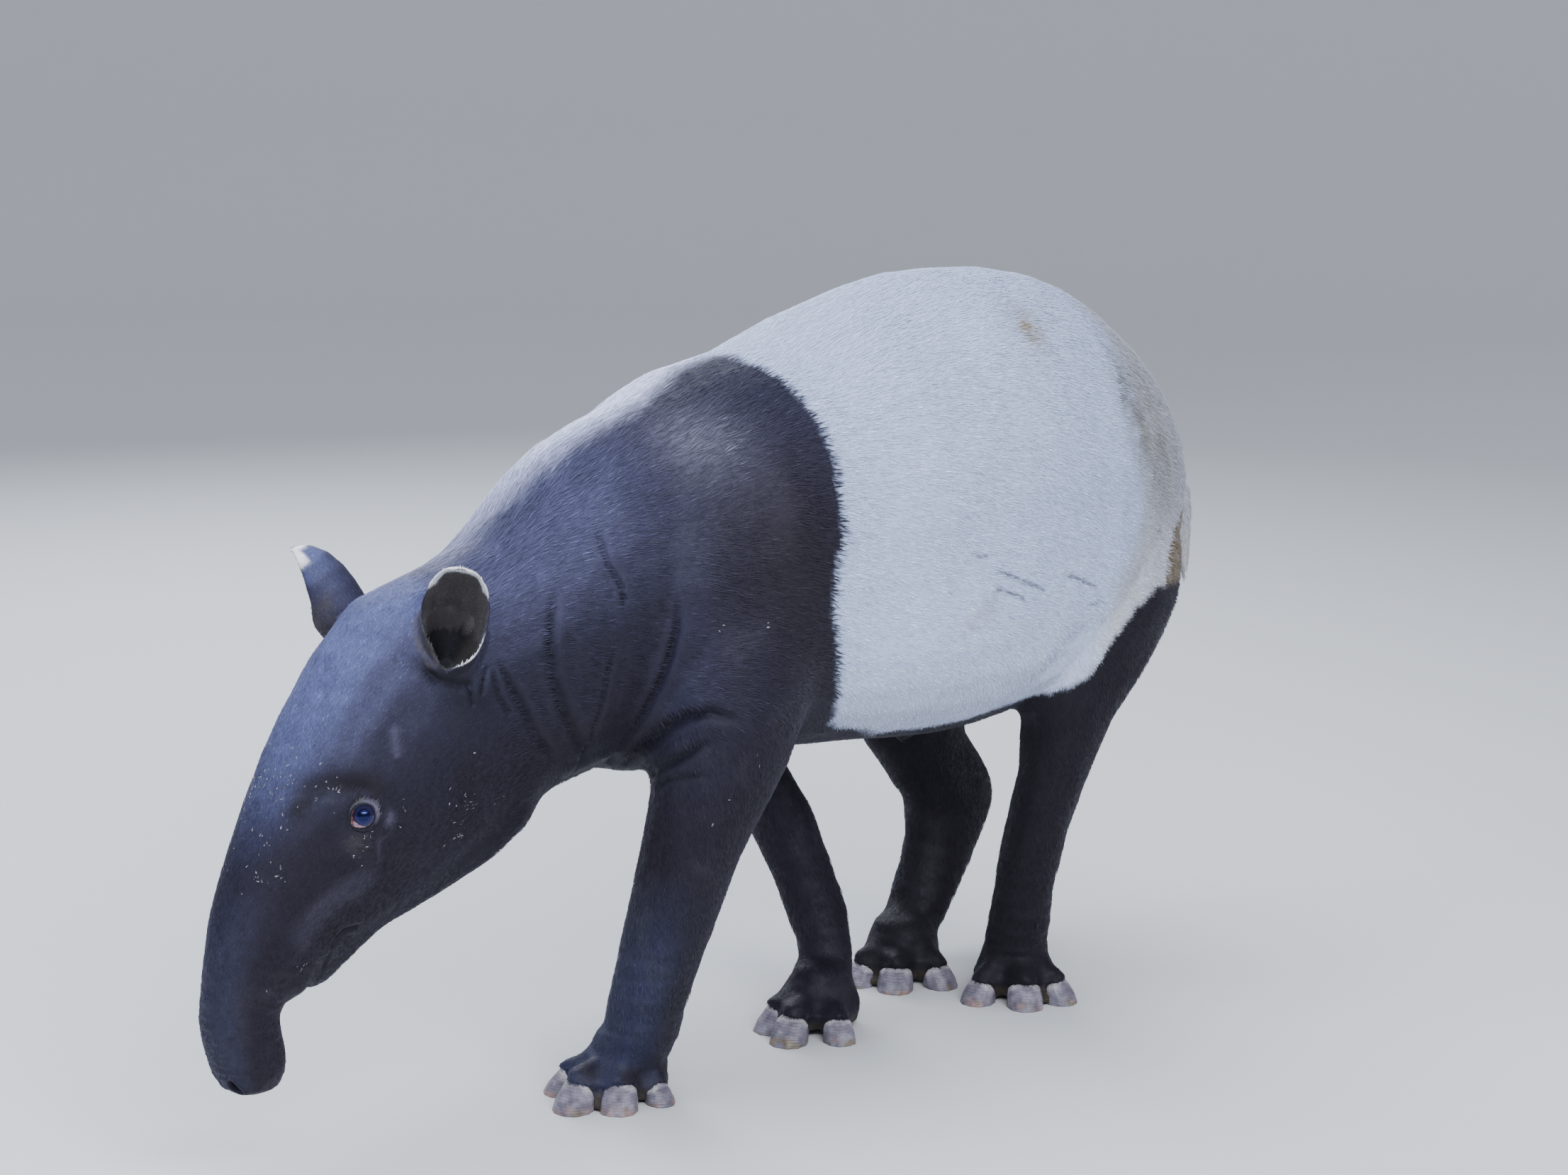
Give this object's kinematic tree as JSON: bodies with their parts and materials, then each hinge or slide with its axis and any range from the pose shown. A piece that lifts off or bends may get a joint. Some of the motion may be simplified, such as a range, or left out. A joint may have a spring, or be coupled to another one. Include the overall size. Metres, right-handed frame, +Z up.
{
  "type": "malayan tapir",
  "caption": "Life-size standing Malayan tapir in mid stride, head lowered, black at both ends with a white saddle, hooved feet flat on the floor.",
  "frame": {"origin": "on the floor, below the middle of the bounding box", "axes": "+X from the nose towards the tail, -Y towards the animal's left side, +Z up"},
  "size_m": [1.7314, 0.534, 1.0459],
  "materials": {
    "black_coat": "short flat hair",
    "white_coat": "short flat hair",
    "horn": "dull horn",
    "eyeball": "wet gloss"
  },
  "bodies": {
    "root": {"ear_left": "black_coat", "ear_right": "black_coat", "eye_left": "eyeball", "eye_right": "eyeball", "forearm_left": "black_coat", "forearm_right": "black_coat", "forefoot_left": "black_coat", "forefoot_right": "black_coat", "forehoof_left_inner": "horn", "forehoof_left_middle": "horn", "forehoof_left_outer": "horn", "forehoof_left_small": "horn", "forehoof_right_inner": "horn", "forehoof_right_middle": "horn", "forehoof_right_outer": "horn", "forehoof_right_small": "horn", "foreshank_left": "black_coat", "foreshank_right": "black_coat", "gaskin_left": "black_coat", "gaskin_right": "black_coat", "head": "black_coat", "hindfoot_left": "black_coat", "hindfoot_right": "black_coat", "hindhoof_left_inner": "horn", "hindhoof_left_middle": "horn", "hindhoof_left_outer": "horn", "hindhoof_right_inner": "horn", "hindhoof_right_middle": "horn", "hindhoof_right_outer": "horn", "hindshank_left": "black_coat", "hindshank_right": "black_coat", "neck": "black_coat", "proboscis": "black_coat", "shoulder_left": "black_coat", "shoulder_right": "black_coat", "tail": "white_coat", "thigh_left": "white_coat", "thigh_right": "white_coat", "torso": "white_coat"}
  },
  "joints": []
}
